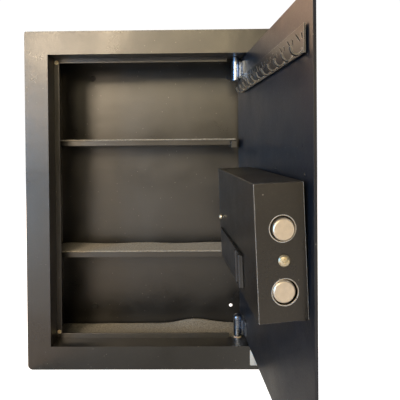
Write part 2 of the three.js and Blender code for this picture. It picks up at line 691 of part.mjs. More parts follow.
// Keypad housing with a pocket for each button and a window for its lamps.
const KEYPAD_FRONT = -DOOR_T - GAP - KEYPAD.depth;
const POCKET_FLOOR = -DOOR_T - GAP - 1.6;

function buttonPlace(column, row) {
  return [KEYPAD.u + (column - 1) * BUTTON.pitchU, KEYPAD.z + 14 - row * BUTTON.pitchZ];
}

function keypadBezel() {
  const back = -DOOR_T - GAP;
  let bezel = plate(roundedRect(KEYPAD.w, KEYPAD.h, 8, 8, KEYPAD.u, KEYPAD.z), [KEYPAD_FRONT, back]);
  for (let row = 0; row < 4; row += 1) {
    for (let column = 0; column < 3; column += 1) {
      const [u, z] = buttonPlace(column, row);
      const pocket = roundedRect(BUTTON.w + 0.8, BUTTON.h + 0.8, 2.4, 2.4, u, z);
      bezel = bezel.subtract(plate(pocket, [KEYPAD_FRONT - 1, POCKET_FLOOR], 2));
    }
  }
  const lampWindow = roundedRect(46, 8, 3, 3, KEYPAD.u, KEYPAD.z + 36);
  return bezel.subtract(plate(lampWindow, [KEYPAD_FRONT - 1, KEYPAD_FRONT + 1], 3));
}

function keypadButton(column, row) {
  const [u, z] = buttonPlace(column, row);
  const base = roundedRect(BUTTON.w, BUTTON.h, 2, 2, u, z);
  const cap = roundedRect(BUTTON.w - 1.6, BUTTON.h - 1.6, 1.5, 1.5, u, z);
  const shoulder = KEYPAD_FRONT - BUTTON.proud + 0.7;
  return plate(base, [shoulder, POCKET_FLOOR - 1.6], 2)
    .add(plate(cap, [KEYPAD_FRONT - BUTTON.proud, shoulder + 1], 2));
}

// The lock case and what is fixed to it, leaning about the case's lower rim.
function buildCase() {
  const upright = new THREE.Group();
  upright.position.set(0, -GAP, -CASE_Z[0]);
  upright.add(
    part('lock_case', lockCase(), BLACK_POWDER),
    part('case_screw_front', frontScrew(), ZINC),
    part('case_screw_side', sideScrew(), CHROME),
    part('battery_cover', batteryCover(), BLACK_PLASTIC),
    part('battery_tray', batteryTray(), BLACK_PLASTIC),
  );
  for (let i = 0; i < 4; i += 1) {
    upright.add(part(`battery_${i + 1}`, battery(i % 2, i >= 2), CELL_SLEEVE));
  }
  const leaning = new THREE.Group();
  leaning.position.set(0, GAP, CASE_Z[0]);
  leaning.rotation.x = -CASE_LEAN;
  leaning.add(upright);
  return leaning;
}

function buildDoor() {
  const pieces = new THREE.Group();
  pieces.position.set(-FREE_TO_PIVOT, -FACE_TO_PIVOT, 0);
  pieces.add(
    buildCase(),
    part('door_plate', doorPlate(), BLACK_POWDER),
    part('hinge_barrel_top', hingeBarrel(BARREL_TOP), CHROME),
    part('hinge_barrel_bottom', hingeBarrel(BARREL_BOTTOM), CHROME),
    part('key_rack', keyRack(), BLACK_POWDER),
    part('circuit_board', circuitBoard(), BOARD_GREEN),
    part('solenoid_body', solenoidBody(), ZINC),
    part('solenoid_plunger', plunger(), CHROME),
    part('bolt_upper', bolt(BOLT_Z[0]), CHROME),
    part('bolt_lower', bolt(BOLT_Z[1]), CHROME),
    part('bolt_bar', boltBar(), ZINC),
    part('knob_spindle', knobSpindle(), ZINC),
    part('knob', knob(), CHROME),
    part('key_cylinder', keyCylinder(), CHROME),
    part('key_plug', keyPlug(), ZINC),
    part('key_cover', keyCover(), BLACK_PLASTIC),
    part('keypad_bezel', keypadBezel(), BLACK_PLASTIC),
  );
  for (let i = 0; i < 12; i += 1) {
    pieces.add(part(`keypad_button_${i + 1}`, keypadButton(i % 3, Math.floor(i / 3)), BUTTON_RUBBER));
  }
  const swing = new THREE.Group();
  swing.position.set(PIVOT_X, PIVOT_DEPTH - CABINET_DEPTH, 0);
  swing.rotation.z = DOOR_OPEN;
  swing.add(pieces);
  return swing;
}

const safe = new THREE.Group();
safe.add(buildCabinet(), buildDoor());
export default safe;
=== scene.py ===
"""Looks of a recessed wall safe with its door open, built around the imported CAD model.

Metres, +X right, +Y into the wall, +Z up. Sizes written in millimetres are multiplied by MM.
"""
import json
import math

import bmesh
import bpy
from mathutils import Matrix, Vector, noise


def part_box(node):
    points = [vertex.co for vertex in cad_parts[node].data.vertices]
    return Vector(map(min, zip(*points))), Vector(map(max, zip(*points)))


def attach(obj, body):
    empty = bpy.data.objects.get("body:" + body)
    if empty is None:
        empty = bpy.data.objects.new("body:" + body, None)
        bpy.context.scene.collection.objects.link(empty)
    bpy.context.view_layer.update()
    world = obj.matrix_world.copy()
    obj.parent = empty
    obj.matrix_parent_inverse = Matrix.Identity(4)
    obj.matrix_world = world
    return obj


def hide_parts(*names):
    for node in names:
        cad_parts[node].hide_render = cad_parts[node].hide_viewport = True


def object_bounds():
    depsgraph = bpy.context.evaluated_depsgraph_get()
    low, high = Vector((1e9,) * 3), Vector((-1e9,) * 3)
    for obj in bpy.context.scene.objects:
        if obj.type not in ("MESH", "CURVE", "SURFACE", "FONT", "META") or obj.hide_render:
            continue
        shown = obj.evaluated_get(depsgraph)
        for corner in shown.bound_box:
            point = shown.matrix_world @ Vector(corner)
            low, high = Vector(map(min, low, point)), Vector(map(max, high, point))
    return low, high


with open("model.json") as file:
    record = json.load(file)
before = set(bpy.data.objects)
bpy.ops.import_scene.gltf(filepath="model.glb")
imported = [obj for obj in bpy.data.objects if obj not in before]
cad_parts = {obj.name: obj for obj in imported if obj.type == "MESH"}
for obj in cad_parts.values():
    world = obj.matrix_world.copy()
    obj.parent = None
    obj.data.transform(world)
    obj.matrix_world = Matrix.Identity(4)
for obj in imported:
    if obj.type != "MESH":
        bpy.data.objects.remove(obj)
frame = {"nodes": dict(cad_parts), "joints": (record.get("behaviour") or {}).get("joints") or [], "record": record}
CAD_LOW, CAD_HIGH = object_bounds()

MM = 0.001
NODES = frame["nodes"]
JOINTS = {joint["name"]: joint for joint in frame["joints"]}

# ---------------------------------------------------------------- the door's own axes
PIVOT = Vector(JOINTS["door_swing"]["pos_m"])
ALONG = Vector(JOINTS["battery_cover_slide"]["axis"])  # from the door's free edge to its hinge
INWARD = Vector(JOINTS["button_1_press"]["axis"])      # from the door's outer face to its inner one
UP = Vector((0, 0, 1))
FREE_TO_PIVOT = 283.5
FACE_TO_PIVOT = 10
DOOR_T = 3


def on_door(u, n, z):
    """A place u from the door's free edge, n inside its inner face and z above its middle, in mm."""
    along = ALONG * (u - FREE_TO_PIVOT)
    inward = INWARD * (n - FACE_TO_PIVOT)
    return PIVOT + (along + inward + UP * z) * MM


def door_matrix(u, n, z):
    """Puts a piece drawn with X along the door, Y inward and Z up at that place on the door."""
    turn = Matrix((ALONG, INWARD, UP)).transposed().to_4x4()
    return Matrix.Translation(on_door(u, n, z)) @ turn


# ---------------------------------------------------------------- materials
# How alike the true normal and the softened one are where the painted edge highlight starts, and where it is full.
EDGE_STARTS = 0.97
EDGE_FULL = 0.82


class Finish:
    """One Principled material. Constants go on its sockets, and patterns are wired to them."""

    def __init__(self, name, **constants):
        self.material = bpy.data.materials.new(name)
        self.material.use_nodes = True
        self.tree = self.material.node_tree
        self.bsdf = self.tree.nodes["Principled BSDF"]
        for socket, value in constants.items():
            self.bsdf.inputs[socket.replace("_", " ")].default_value = value
        self.place = self.tree.nodes.new("ShaderNodeTexCoord").outputs["Object"]

    def add(self, kind, settings=None, **inputs):
        """A new shader node with these settings, and with each named input fed."""
        node = self.tree.nodes.new(kind)
        for key, value in (settings or {}).items():
            setattr(node, key, value)
        for key, value in inputs.items():
            self.feed(node.inputs[key.replace("_", " ")], value)
        return node

    def feed(self, socket, value):
        """Wires another node's output to the socket, or sets it to a constant."""
        if isinstance(value, bpy.types.NodeSocket):
            self.tree.links.new(value, socket)
        else:
            socket.default_value = value

    def stretched(self, x, y, z):
        """The object's coordinates, scaled on each axis."""
        return self.add("ShaderNodeMapping", Vector=self.place, Scale=(x, y, z)).outputs["Vector"]

    def noise(self, size, detail=3.0, place=None):
        """Soft noise whose blotches are about size metres across."""
        inputs = {"Vector": place or self.place, "Scale": 1 / size, "Detail": detail}
        return self.add("ShaderNodeTexNoise", **inputs).outputs["Fac"]

    def cells(self, size, place=None):
        """Distance to the nearest of many scattered points, about size metres apart."""
        node = self.add("ShaderNodeTexVoronoi", Vector=place or self.place, Scale=1 / size)
        return node.outputs["Distance"]

    def near_edges(self, reach):
        """0 on flat faces, and up to 1 within reach metres of a sharp edge."""
        softened = self.add("ShaderNodeBevel", {"samples": 8}, Radius=reach).outputs["Normal"]
        plain = self.tree.nodes.new("ShaderNodeNewGeometry").outputs["True Normal"]
        node = self.tree.nodes.new("ShaderNodeVectorMath")
        node.operation = "DOT_PRODUCT"
        self.feed(node.inputs[0], softened)
        self.feed(node.inputs[1], plain)
        return self.spread(node.outputs["Value"], 0, 1, EDGE_STARTS, EDGE_FULL)

    def spread(self, value, low, high, start=0.35, end=0.65):
        """Maps value from start..end to low..high."""
        node = self.add("ShaderNodeMapRange", Value=value, To_Min=low, To_Max=high)
        node.inputs["From Min"].default_value = start
        node.inputs["From Max"].default_value = end
        return node.outputs["Result"]

    def blend(self, amount, first, second):
        """Colour first where amount is 0 and second where it is 1."""
        node = self.tree.nodes.new("ShaderNodeMix")
        node.data_type = "RGBA"
        self.feed(node.inputs[0], amount)
        self.feed(node.inputs[6], first)
        self.feed(node.inputs[7], second)
        return node.outputs[2]

    def combine(self, first, second, operation):
        """The sum or product of two patterns."""
        node = self.tree.nodes.new("ShaderNodeMath")
        node.operation = operation
        self.feed(node.inputs[0], first)
        self.feed(node.inputs[1], second)
        return node.outputs[0]

    def wear(self, socket, value):
        """Feeds one input of the surface."""
        self.feed(self.bsdf.inputs[socket], value)

    def mottle(self, pattern, first, second, roughness):
        """Colours the surface from first to second along a pattern, and its roughness along with it."""
        self.wear("Base Color", self.blend(self.spread(pattern, 0, 1), first, second))
        self.wear("Roughness", self.spread(pattern, *roughness))

    def bump(self, height, depth, under=None):
        """Raises the surface by height times depth metres, on top of an earlier bump."""
        node = self.add("ShaderNodeBump", Height=height, Distance=depth, Strength=1.0)
        if under:
            self.tree.links.new(under, node.inputs["Normal"])
        self.feed(self.bsdf.inputs["Normal"], node.outputs["Normal"])
        return node.outputs["Normal"]


def rgb(red, green, blue):
    """An opaque colour, in linear light."""
    return (red, green, blue, 1.0)


# Paint in its two shades, and the dust on it.
PAINT_TONES = ((0.006, 0.006, 0.0064), (0.012, 0.0115, 0.011), (0.05, 0.047, 0.042))
# The door's tones are painted shade: the same paint made darker and bluer, for the dim bluish light on the door.
DOOR_SHADED_TONES = ((0.004, 0.007, 0.014), (0.007, 0.011, 0.021), (0.026, 0.034, 0.048))


def powder_coat(name="black_powder_coat", shine=1.0, tones=PAINT_TONES, painted_edge_highlight=False):
    """Near-black powder coat: fine orange peel over slow waves, with dust and a few pale specks."""
    f = Finish(name, Specular_IOR_Level=shine, Coat_Weight=0.3 * shine, Coat_Roughness=0.34)
    patches = f.noise(0.07, detail=5)
    grain = f.noise(0.0016, detail=2)
    dark, light, dust = (rgb(*tone) for tone in tones)
    paint = f.blend(f.spread(patches, 0, 1), dark, light)
    dusty = f.blend(f.spread(grain, 0, 0.35, 0.55, 0.8), paint, dust)
    specks = f.spread(f.cells(0.011), 1, 0, 0.03, 0.07)
    colour = f.blend(specks, dusty, rgb(0.2, 0.19, 0.17))
    if painted_edge_highlight:
        # A painted highlight: pale bluish colour along sharp edges, standing in for light glinting on them.
        colour = f.blend(f.near_edges(1.5 * MM), colour, rgb(0.62, 0.66, 0.72))
    f.wear("Base Color", colour)
    f.wear("Roughness", f.combine(f.spread(patches, 0.3, 0.42), f.spread(grain, -0.03, 0.04), "ADD"))
    waves = f.bump(f.noise(0.03, detail=3), 0.0004)
    peel = f.bump(f.cells(0.0014), 0.00004, waves)
    f.bump(f.noise(0.0005, detail=2), 0.000025, peel)
    return f.material


def black_enamel():
    """Glossy black dip paint on the key rack, with a painted highlight along the hooks' edges."""
    f = Finish("black_enamel", Specular_IOR_Level=0.8, Coat_Weight=0.5, Coat_Roughness=0.2)
    runs = f.noise(0.004, detail=3, place=f.stretched(1, 1, 0.4))
    paint = f.blend(f.spread(runs, 0, 1), rgb(0.008, 0.008, 0.009), rgb(0.016, 0.015, 0.015))
    # Pale colour near the hooks' edges is a painted highlight.
    f.wear("Base Color", f.blend(f.near_edges(0.7 * MM), paint, rgb(0.5, 0.48, 0.44)))
    f.wear("Roughness", f.spread(runs, 0.3, 0.34))
    f.bump(runs, 0.000003)
    return f.material


def slot_shade_sheet():
    """Near-black matte sheet with open pores, used as painted shade."""
    f = Finish("slot_shade_sheet", Roughness=0.95, Specular_IOR_Level=0.1)
    pores = f.cells(0.0008)
    hollow, skin = rgb(0.002, 0.002, 0.002), rgb(0.006, 0.006, 0.006)
    f.wear("Base Color", f.blend(f.spread(pores, 0, 1, 0.1, 0.6), hollow, skin))
    f.bump(pores, 0.0002)
    return f.material


def grey_felt():
    """Thin needle felt: matted fibres in two directions, with rubbed patches."""
    f = Finish("grey_felt", Roughness=0.95, Specular_IOR_Level=0.2, Sheen_Weight=0.25, Sheen_Roughness=0.6)
    lying = f.noise(0.0009, detail=5, place=f.stretched(0.25, 1, 1))
    across = f.noise(0.0009, detail=5, place=f.stretched(1, 0.3, 1))
    fibres = f.combine(lying, across, "MULTIPLY")
    worn = f.noise(0.045)
    base = f.blend(f.spread(fibres, 0, 1, 0.15, 0.36), rgb(0.17, 0.16, 0.14), rgb(0.5, 0.475, 0.42))
    f.wear("Base Color", f.blend(f.spread(worn, 0, 0.3), base, rgb(0.34, 0.31, 0.27)))
    f.bump(fibres, 0.0006)
    return f.material


def chrome():
    """Plated steel with a cool grey reflection and faint handling smudges."""
    f = Finish("chrome", Metallic=1.0)
    smudge = f.noise(0.012, detail=5)
    f.mottle(smudge, rgb(0.36, 0.41, 0.5), rgb(0.28, 0.32, 0.4), (0.26, 0.34))
    f.bump(f.noise(0.004, detail=2), 0.000004)
    return f.material


def satin_steel():
    """Turned bolt steel, dulled to a warm satin grey, with fine scratches."""
    f = Finish("satin_steel", Metallic=0.85)
    haze = f.noise(0.005, detail=5)
    f.mottle(haze, rgb(0.74, 0.67, 0.58), rgb(0.67, 0.61, 0.53), (0.34, 0.46))
    f.bump(f.noise(0.0004, place=f.stretched(1, 1, 0.3)), 0.00003)
    return f.material


def zinc_plate():
    """Passivated zinc, cloudy between yellow and grey."""
    f = Finish("zinc_plate", Metallic=0.9)
    cloud = f.noise(0.006, detail=4)
    f.mottle(cloud, rgb(0.72, 0.64, 0.45), rgb(0.6, 0.58, 0.5), (0.28, 0.42))
    f.bump(f.noise(0.0006), 0.00003)
    return f.material


def cream_nylon():
    """Natural nylon, slightly translucent and scuffed."""
    f = Finish("cream_nylon", Subsurface_Weight=0.15, Subsurface_Scale=0.002)
    scuff = f.noise(0.003, detail=4)
    f.mottle(scuff, rgb(0.66, 0.58, 0.44), rgb(0.54, 0.46, 0.33), (0.42, 0.6))
    f.bump(f.noise(0.0008), 0.00004)
    return f.material


def black_plastic():
    """Moulded plastic with a spark-eroded grain."""
    f = Finish("black_plastic", Specular_IOR_Level=0.5)
    patches = f.noise(0.03)
    f.mottle(patches, rgb(0.018, 0.019, 0.021), rgb(0.028, 0.029, 0.031), (0.36, 0.46))
    f.bump(f.cells(0.0006), 0.00004)
    return f.material


def button_rubber():
    """Matte silicone with a dusty bloom."""
    f = Finish("button_rubber", Specular_IOR_Level=0.35)
    bloom = f.noise(0.004, detail=4)
    f.mottle(bloom, rgb(0.04, 0.042, 0.046), rgb(0.065, 0.067, 0.07), (0.6, 0.75))
    f.bump(f.noise(0.0005), 0.00003)
    return f.material


def circuit_board():
    """Green solder mask with paler copper runs under it."""
    f = Finish("circuit_board", Coat_Weight=0.5, Coat_Roughness=0.1)
    runs = f.spread(f.cells(0.004, f.stretched(1, 1, 2.5)), 0, 1, 0.42, 0.5)
    f.wear("Base Color", f.blend(runs, rgb(0.012, 0.1, 0.035), rgb(0.04, 0.2, 0.07)))
    f.wear("Roughness", f.spread(f.noise(0.01), 0.3, 0.45))
    f.bump(runs, 0.00005)
    return f.material


def cell_sleeve():
    """Plain shrink sleeve on a dry cell, finely wrinkled."""
    f = Finish("cell_sleeve", Coat_Weight=0.6, Coat_Roughness=0.12)
    wrinkle = f.noise(0.002, place=f.stretched(1, 0.2, 1))
    f.mottle(wrinkle, rgb(0.03, 0.055, 0.11), rgb(0.05, 0.085, 0.15), (0.25, 0.4))
    f.bump(wrinkle, 0.00004)
    return f.material


def label_vinyl():
    """Blank off-white adhesive label, faintly yellowed in patches."""
    f = Finish("label_vinyl", Coat_Weight=0.2, Coat_Roughness=0.3)
    aged = f.noise(0.01, detail=4)
    f.mottle(aged, rgb(0.6, 0.6, 0.58), rgb(0.5, 0.49, 0.46), (0.4, 0.55))
    f.bump(f.noise(0.002), 0.00002)
    return f.material


def keypad_ink():
    """White ink of the digits, a little worn."""
    f = Finish("keypad_ink")
    worn = f.noise(0.0015, detail=4)
    f.mottle(worn, rgb(0.8, 0.8, 0.78), rgb(0.62, 0.62, 0.6), (0.45, 0.6))
    return f.material


def lamp_lens(name, colour):
    """Tinted lens of one keypad lamp."""
    f = Finish(name, Transmission_Weight=0.2, Coat_Weight=1.0, Coat_Roughness=0.05)
    cloud = f.noise(0.001)
    paler = tuple(0.4 + 0.6 * part for part in colour[:3]) + (1.0,)
    f.wear("Base Color", f.blend(f.spread(cloud, 0, 0.5), colour, paler))
    f.wear("Roughness", f.spread(cloud, 0.15, 0.25))
    return f.material


MATERIALS = {
    "black_powder_coat": powder_coat(),
    "grey_felt": grey_felt(),
    "chrome": chrome(),
    "zinc_plate": zinc_plate(),
    "cream_nylon": cream_nylon(),
    "black_plastic": black_plastic(),
    "button_rubber": button_rubber(),
    "circuit_board": circuit_board(),
    "cell_sleeve": cell_sleeve(),
}
SATIN_STEEL = satin_steel()
SLOT_SHADE_SHEET = slot_shade_sheet()
LABEL_VINYL = label_vinyl()
KEYPAD_INK = keypad_ink()
OWN_MATERIAL = {
    "bolt_upper": SATIN_STEEL,
    "bolt_lower": SATIN_STEEL,
    "key_rack": black_enamel(),
    # The door gets the painted-shade copy of the paint, darker and bluer than the cabinet's.
    "door_plate": powder_coat("door_shaded_paint", shine=0.48, tones=DOOR_SHADED_TONES),
    # The lock case's paint carries a painted highlight along its edges.
    "lock_case": powder_coat("case_paint", shine=0.6, painted_edge_highlight=True),
}

# ---------------------------------------------------------------- CAD nodes kept as they are
EDGE_R = 0.35       # mm, for every node that isn't listed here
EDGE_RADII = {
    "cabinet_body": 0.6,
    "front_frame": 0.6,
    "stop_frame": 0.5,
    "lock_case": 0.55,
    "door_plate": 0.7,
    "battery_cover": 0.6,
    "knob": 0.7,
    "keypad_bezel": 1.0,
    "key_rack": 0.3,
    "bolt_upper": 0.5,
    "bolt_lower": 0.5,
}
SHARP = math.radians(28)       # edges that turn more than this are rounded
FLAT = math.radians(0.6)       # triangles closer than this to one plane become one face
WELD = 0.001 * MM


def finish_node(name, slot):
    """Welds the node's triangles back into whole faces, rounds its edges and gives it its material."""
    node = NODES[name]
    for attribute in ("custom_normal", "sharp_edge", "sharp_face"):
        if attribute in node.data.attributes:
            node.data.attributes.remove(node.data.attributes[attribute])
    node.data.shade_smooth()
    node.material_slots[0].material = OWN_MATERIAL.get(name, MATERIALS[slot])
    weld = node.modifiers.new("weld", "WELD")
    weld.merge_threshold = WELD
    planes = node.modifiers.new("planes", "DECIMATE")
    planes.decimate_type = "DISSOLVE"
    planes.angle_limit = FLAT
    round_edges(node, EDGE_RADII.get(name, EDGE_R) * MM)


# The lock case leans from the door. Its own axes run along the door, off it and up it.
CASE_LEAN = math.radians(2)
CASE_AXES = (
    ALONG,
    INWARD * math.cos(CASE_LEAN) - UP * math.sin(CASE_LEAN),
    UP * math.cos(CASE_LEAN) + INWARD * math.sin(CASE_LEAN),
)
CLOSE = 0.2 * MM       # vertices this near to an extreme count as lying on it
LIP = 20 * MM          # this far in from the flange's sides, only its mouth is left


def at_corners(node, axes):
    """Indices of the vertices that sit at the node's extremes on all three axes."""
    places = [node.matrix_world @ v.co for v in node.data.vertices]
    chosen = set(range(len(places)))
    for axis in axes:
        values = [place @ axis for place in places]
        low, high = min(values) + CLOSE, max(values) - CLOSE
        chosen &= {i for i, value in enumerate(values) if value < low or value > high}
    return sorted(chosen)


def round_more(name, indices, radius):
    """Gives the edges between these vertices a larger radius than the node's other edges."""
    node = NODES[name]
    node.vertex_groups.new(name="rounder").add(indices, 1.0, "REPLACE")
    rounder = round_edges(node, radius, segments=4, name="rounder")
    rounder.limit_method = "VGROUP"
    rounder.vertex_group = "rounder"
    node.modifiers.move(node.modifiers.find("rounder"), node.modifiers.find("edges"))
    for label in ("rounder", "edges"):
        node.modifiers[label].harden_normals = False
    node.modifiers.new("flat_faces", "WEIGHTED_NORMAL").weight = 100


def round_edges(piece, radius, segments=3, name="edges"):
    """Rounds every edge of the piece that turns by more than SHARP."""
    bevel = piece.modifiers.new(name, "BEVEL")
    bevel.width = radius
    bevel.segments = segments
    bevel.limit_method = "ANGLE"
    bevel.angle_limit = SHARP
    bevel.harden_normals = True
    return bevel


def mouth_rim():
    """Vertices of the flange's front face that lie round the opening."""
    flange = NODES["front_frame"]
    low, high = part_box("front_frame")
    half = high.x - LIP
    places = [(v.index, flange.matrix_world @ v.co) for v in flange.data.vertices]
    return [i for i, place in places if abs(place.x) < half and place.y < low.y + CLOSE]


for row in frame["record"]["subparts"]:
    finish_node(row["node"], row["material_slot"])
round_more("lock_case", at_corners(NODES["lock_case"], CASE_AXES), 0.8 * MM)
round_more("front_frame", mouth_rim(), 1.3 * MM)
round_more("battery_cover", at_corners(NODES["battery_cover"], CASE_AXES), 0.9 * MM)


# ---------------------------------------------------------------- mesh helpers
def piece_from(name, bm, material, body, matrix=None):
    """Makes a smooth-shaded piece from bm, and sets what it rides on."""
    mesh = bpy.data.meshes.new(name)
    bm.normal_update()
    bm.to_mesh(mesh)
    bm.free()
    mesh.shade_smooth()
    piece = bpy.data.objects.new(name, mesh)
    bpy.context.scene.collection.objects.link(piece)
    if matrix:
        piece.matrix_world = matrix
    mesh.materials.append(material)
    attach(piece, body)
    return piece


def circle(sides):
    """Cosine and sine of equal steps round a circle."""
    steps = [2 * math.pi * i / sides for i in range(sides)]
    return [(math.cos(a), math.sin(a)) for a in steps]


def bridge(bm, first, second):
    """Faces between two closed loops with the same number of vertices."""
    for i in range(len(first)):
        j = (i + 1) % len(first)
        bm.faces.new((first[i], first[j], second[j], second[i]))


DOME_RIM = 0.25        # share of a dome's height that is its straight rim
DOME_REACH = 0.94      # share of the way to its pole, which leaves a small flat on top


def dome(radius, height, sides=20, rings=4):
    """A low rounded head on Y = 0 that rises to Y = -height, with a short straight rim."""
    bm = bmesh.new()
    profile = [(radius, 0)]
    for ring in range(rings + 1):
        angle = ring / rings * math.pi / 2
        rise = DOME_RIM + (1 - DOME_RIM) * math.sin(angle)
        profile.append((radius * math.cos(angle * DOME_REACH), -height * rise))
    loops = [[bm.verts.new((r * c, y, r * s)) for c, s in circle(sides)] for r, y in profile]
    for low, high in zip(loops, loops[1:]):
        bridge(bm, low, high)
    bm.faces.new(loops[-1])
    bm.faces.new(reversed(loops[0]))
    return bm


# ---------------------------------------------------------------- felt mats
MAT_T = 1.8 * MM
MAT_STEP = 3 * MM
MAT_INSET = 0.4 * MM
GRAIN_SIZE = 14 * MM
GRAIN_DEPTH = 0.25 * MM


def mat_rows(bm, node, shape):
    """Vertices of a mat's top in rows from front to back, laid over the CAD mat's place."""
    low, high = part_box(node)
    x0, x1 = low.x + MAT_INSET, high.x - MAT_INSET
    y0, y1 = low.y + MAT_INSET, high.y - MAT_INSET
    across = round((x1 - x0) / MAT_STEP)
    deep = round((y1 - y0) / MAT_STEP)

    def vertex(s, t):
        cut, rise = shape(s, t)
        x = x0 + (x1 - x0) * s
        y = y0 + (y1 - y0 - cut * MM) * t
        grain = noise.noise(Vector((x, y, 0)) / GRAIN_SIZE) * GRAIN_DEPTH
        return bm.verts.new((x, y, low.z + MAT_T + max(0.0, rise * MM + grain)))

    return [[vertex(i / across, j / deep) for i in range(across + 1)] for j in range(deep + 1)]


def felt_sheet(name, node, shape, notch=None):
    """A felt sheet in place of the CAD's mat. shape(s, t) gives, in mm at the share s across and t
    towards the back, how far the back edge is cut in and how high the sheet lies over its bed."""
    bm = bmesh.new()
    rows = mat_rows(bm, node, shape)
    for front, back in zip(rows, rows[1:]):
        for i in range(len(front) - 1):
            corners = (front[i], front[i + 1], back[i + 1], back[i])
            middle = sum((v.co for v in corners), Vector()) / 4
            if not (notch and notch(middle)):
                bm.faces.new(corners)
    loose = [v for v in bm.verts if not v.link_faces]
    bmesh.ops.delete(bm, geom=loose, context="VERTS")
    mat = piece_from(name, bm, MATERIALS["grey_felt"], "cabinet")
    solid = mat.modifiers.new("thickness", "SOLIDIFY")
    solid.thickness = MAT_T
    solid.offset = -1
    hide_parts(node)
    return mat


def shelf_wave(s, t):
    """Back edge cut in a slow wave, lying almost flat."""
    cut = 1.6 - 1.4 * math.sin(s * 5 * math.pi)
    rise = 1.1 * t * t * (0.5 + 0.5 * math.sin(s * 5 * math.pi + 0.6))
    return cut, rise


def floor_wave(s, t):
    """Lies flat on the left and climbs at the back on the right, where it is too long for the floor."""
    hump = math.exp(-(((s - 0.77) / 0.13) ** 2))
    ripple = 0.7 * math.sin(s * 9 * math.pi) * (0.3 + 0.7 * s)
    rise = t ** 3 * (0.8 + 7.5 * hump + ripple * 0.5)
    return 1.0 + 0.6 * math.sin(s * 4 * math.pi), max(0.0, rise)


NOTCH_X = PIVOT.x - 21 * MM
NOTCH_DEPTH = 50 * MM


def hinge_notch(place):
    """Where the floor mat is cut away round the lower hinge."""
    return place.x > NOTCH_X and place.y < CAD_LOW.y + NOTCH_DEPTH


for shelf in ("upper", "lower"):
    shelf_felt = felt_sheet(f"{shelf}_shelf_felt", f"{shelf}_shelf_mat", shelf_wave)
floor_felt = felt_sheet("floor_felt", "floor_mat", floor_wave, notch=hinge_notch)

# ---------------------------------------------------------------- keypad digits and lamps
KEYS = "123456789-0+"
DIGIT_H = 6.2 * MM
DIGIT_T = 0.12 * MM
CAPITAL = 0.7          # height of a digit, as a share of its type size


def digit(index, character):
    """A printed character on one button, standing a hair proud of it."""
    button = f"keypad_button_{index}"
    text = bpy.data.curves.new(f"digit_{index}", "FONT")
    text.body = character
    text.size = DIGIT_H / CAPITAL
    text.align_x = "CENTER"
    text.align_y = "CENTER"
    text.extrude = DIGIT_T
    text.resolution_u = 4
    flat = bpy.data.objects.new("digit_curve", text)
    bpy.context.scene.collection.objects.link(flat)
    bpy.context.view_layer.update()
    mesh = bpy.data.meshes.new_from_object(flat)
    bpy.data.objects.remove(flat)
    low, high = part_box(button)
    middle = (low + high) / 2
    outer = max((v.co for v in NODES[button].data.vertices), key=lambda co: -co.dot(INWARD))
    face = middle + INWARD * ((outer - middle).dot(INWARD) - DIGIT_T * 0.5)
    # Type is drawn in XY and faces +Z. Read from outside, its X runs along the door.
    turn = Matrix((ALONG, UP, -INWARD)).transposed().to_4x4()
    place = Matrix.Translation(face) @ turn
    bm = bmesh.new()
    bm.from_mesh(mesh)
    return piece_from(f"digit_{index}", bm, KEYPAD_INK, button, place)


for number, key in enumerate(KEYS, start=1):
    digit(number, key)

LAMPS = {
    "red": rgb(0.5, 0.02, 0.015),
    "amber": rgb(0.55, 0.28, 0.02),
    "green": rgb(0.03, 0.35, 0.06),
}
LAMP_R = 2 * MM
LAMP_RISE = 1.3 * MM
LAMP_PITCH = 14
LAMP_SEAT = 1.0        # how deep a lamp sits in the bezel
KEYPAD_MIDDLE_U = 150
KEYPAD_STANDOFF = 0.3
KEYPAD_DEPTH = 8
LAMP_Z = 36
LAMP_N = LAMP_SEAT - DOOR_T - KEYPAD_STANDOFF - KEYPAD_DEPTH


def lamp(tint, column):
    """One small lamp above the keys. Column 0 is in the middle."""
    place = door_matrix(KEYPAD_MIDDLE_U + column * LAMP_PITCH, LAMP_N, LAMP_Z)
    lens = lamp_lens(f"lamp_lens_{tint}", LAMPS[tint])
    piece_from(f"lamp_{tint}", dome(LAMP_R, LAMP_RISE), lens, "door", place)


for column, tint in enumerate(LAMPS, start=-1):
    lamp(tint, column)

# ---------------------------------------------------------------- small fixings, painted shade behind the key rack, and the blank label
# Places u, n and z on the door and on the case are in mm.
CASE_RIM_N = 0.3       # the case leans about its lower rim, which is here
CASE_RIM_Z = -69.3
CASE_NEAR_U = 11
HOLE_N = 20.7
HOLE_ZS = {"upper": 12, "lower": -43}
GUIDE_R = (11.55 * MM, 11.2 * MM)
GUIDE_LENGTH = 0.9 * MM
GUIDE_SUNK = 0.15


def case_matrix(u, n, z):
    """Like door_matrix, for a place given in the leaning case's own u, n and z."""
    rim = on_door(u, CASE_RIM_N, CASE_RIM_Z)
    turn = Matrix(CASE_AXES).transposed().to_4x4()
    shift = CASE_AXES[1] * (n - CASE_RIM_N) + CASE_AXES[2] * (z - CASE_RIM_Z)
    return Matrix.Translation(rim + shift * MM) @ turn


def tube(outer, inner, length, sides=48):
    """A short tube round the X axis, from X = 0 to X = length."""
    bm = bmesh.new()
    profile = ((outer, 0), (inner, 0), (inner, length), (outer, length))
    loops = [[bm.verts.new((x, r * c, r * s)) for c, s in circle(sides)] for r, x in profile]
    for near, far in zip(loops, loops[1:] + loops[:1]):
        bridge(bm, near, far)
    bmesh.ops.recalc_face_normals(bm, faces=bm.faces)
    return bm


def bolt_guide(side, z):
    """The thin ring that lines one bolt's hole in the case."""
    place = case_matrix(CASE_NEAR_U + GUIDE_SUNK, HOLE_N, z)
    ring = tube(*GUIDE_R, GUIDE_LENGTH)
    guide = piece_from(f"bolt_guide_{side}", ring, SATIN_STEEL, "door", place)
    round_edges(guide, 0.1 * MM)


for side, z in HOLE_ZS.items():
    bolt_guide(side, z)

